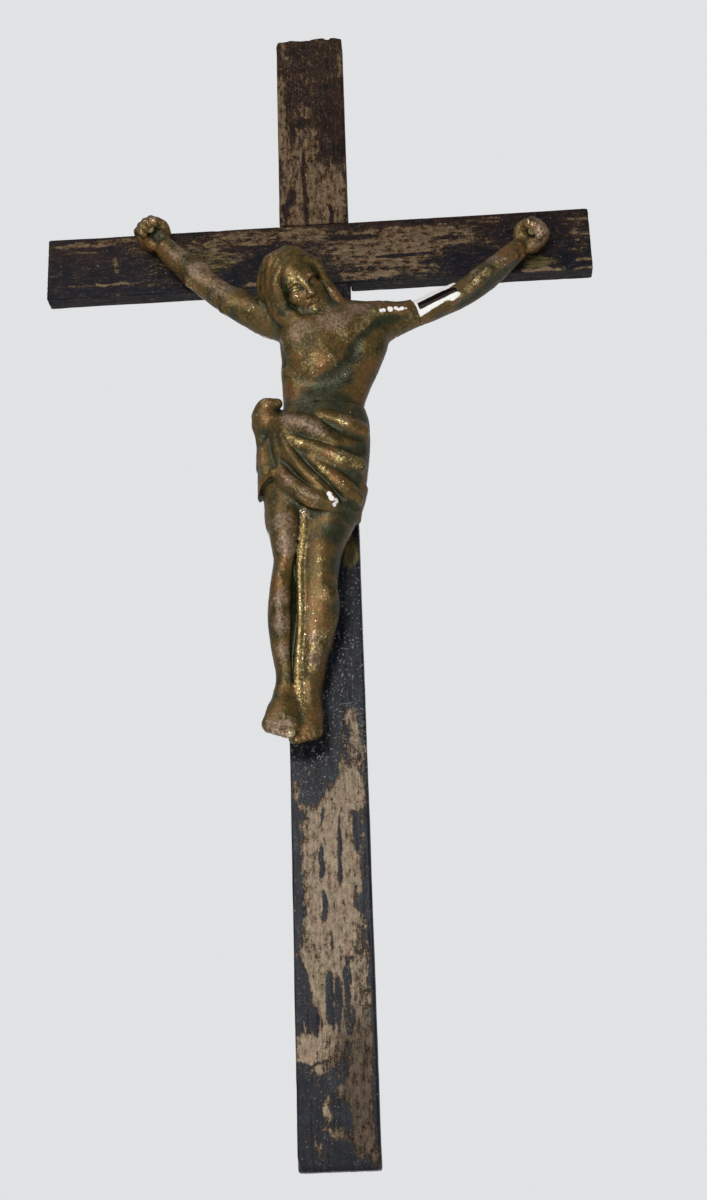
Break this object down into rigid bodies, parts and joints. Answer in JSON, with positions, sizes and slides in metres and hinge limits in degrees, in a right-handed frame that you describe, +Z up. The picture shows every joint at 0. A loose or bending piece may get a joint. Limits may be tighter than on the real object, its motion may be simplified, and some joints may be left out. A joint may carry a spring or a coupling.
{
  "type": "wall crucifix",
  "caption": "Flat-backed wooden wall cross with a cast plaster figure nailed to it, and a swinging hanging ring let into the back.",
  "frame": {"origin": "on the flat back face at the centre of the crossing of the two boards", "axes": "+Z up the post, +Y out of the back, so the figure faces -Y and +X is to the right of someone looking at the front"},
  "size_m": [0.298, 0.0575, 0.622],
  "materials": {
    "painted_wood": "black paint worn through to grey-brown wood",
    "bronzed_plaster": "cast plaster with a dark bronze paint, rubbed on the high parts",
    "plug_wood": "bare turned dowel",
    "iron": "plain rusty iron",
    "bronzed_nail": "wire nail painted over with the figure's bronze paint",
    "zinc_steel": "dulled zinc-plated steel"
  },
  "bodies": {
    "cross": {"upright": "painted_wood", "crossbeam": "painted_wood", "halving_brads": "iron", "corpus_body": "bronzed_plaster", "corpus_right_arm": "bronzed_plaster", "corpus_left_arm": "bronzed_plaster", "right_arm_iron": "iron", "left_arm_iron": "iron", "right_leg_wire": "iron", "left_leg_wire": "iron", "torso_plug": "plug_wood", "torso_screw": "iron", "right_hand_nail": "bronzed_nail", "left_hand_nail": "bronzed_nail", "foot_nail": "bronzed_nail", "hanger_plate": "zinc_steel", "hanger_screws": "zinc_steel"},
    "ring": {"hanger_ring": "zinc_steel"}
  },
  "joints": [
    {"name": "ring_swing", "type": "hinge", "parent": "cross", "child": "ring", "pos_m": [0, -0.00235, 0.108], "axis": [1, 0, 0], "range_deg": [0, 180]}
  ]
}
